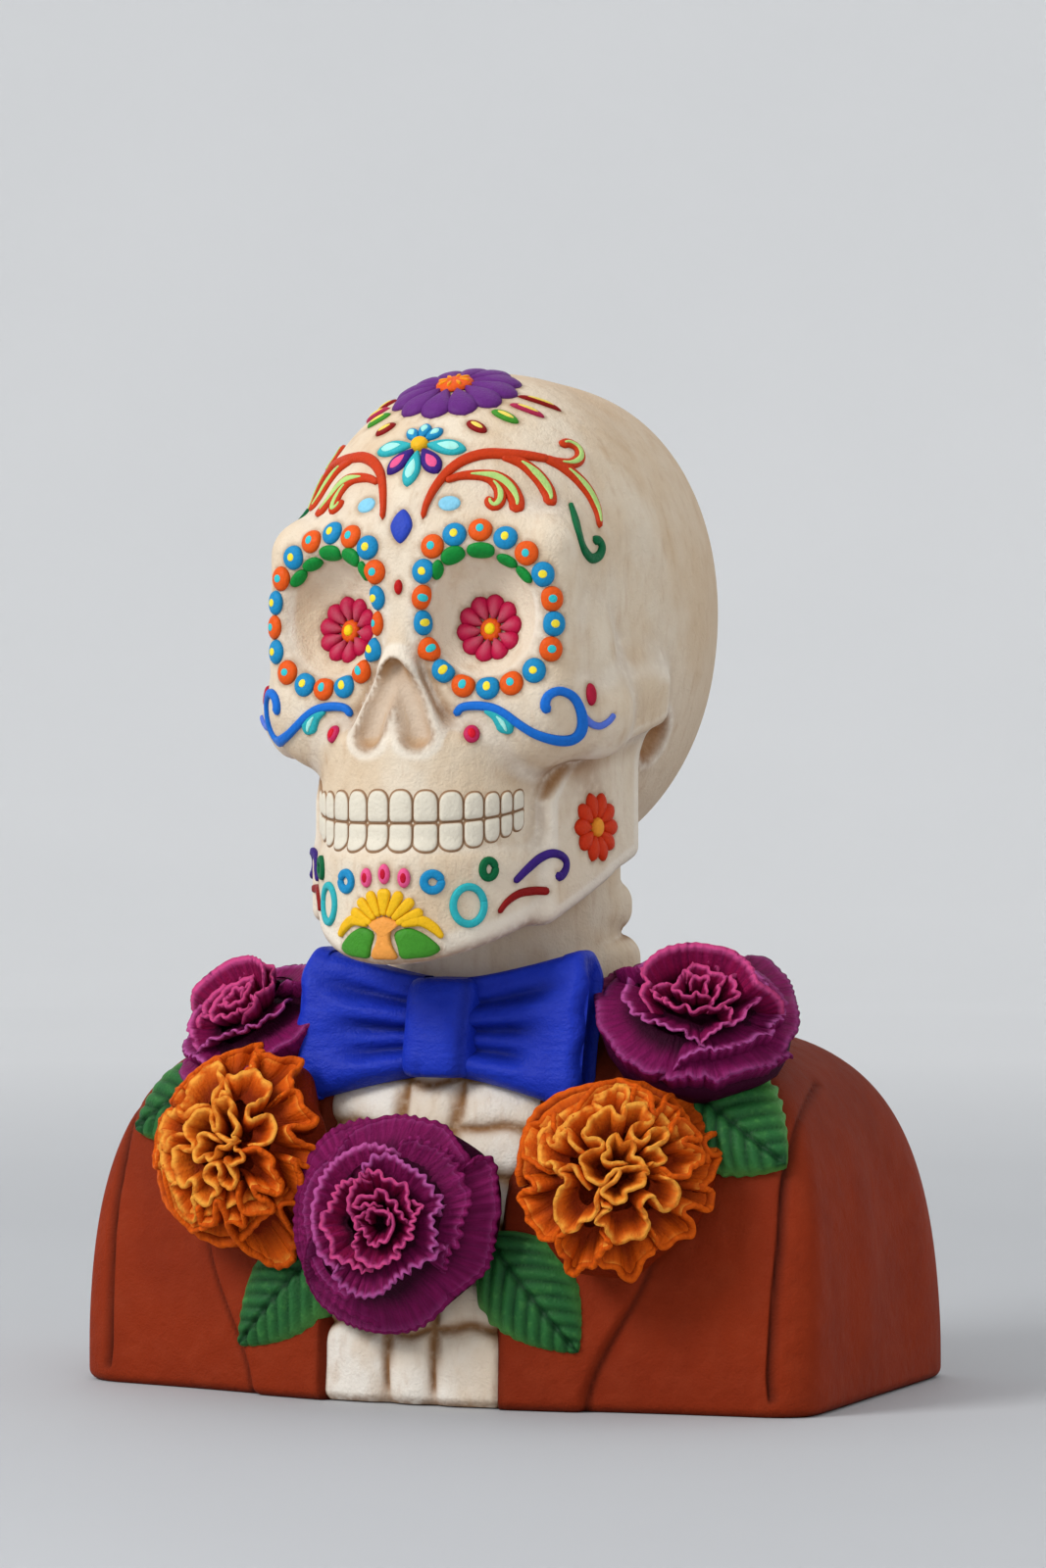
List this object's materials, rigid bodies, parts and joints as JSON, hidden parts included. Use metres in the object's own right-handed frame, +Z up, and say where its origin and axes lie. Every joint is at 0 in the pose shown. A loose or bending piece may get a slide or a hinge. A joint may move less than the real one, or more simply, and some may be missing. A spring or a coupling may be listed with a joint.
{
  "type": "skeleton bust ornament",
  "caption": "Tabletop bust of a decorated skull on a vertebral neck, wearing a jacket open over the ribs, a bow tie and a garland of roses, marigolds and leaves.",
  "frame": {"origin": "the flat underside, midway across the jacket, on the surface that the bust stands on", "axes": "+Z up; the figure faces -Y, and its left side is +X"},
  "size_m": [0.25, 0.1898, 0.32],
  "materials": {
    "painted_casting": "cast resin, hand painted in matt colours, the bone washed with brown in its hollows"
  },
  "bodies": {
    "root": {"skeleton_bust": "painted_casting"}
  },
  "joints": []
}
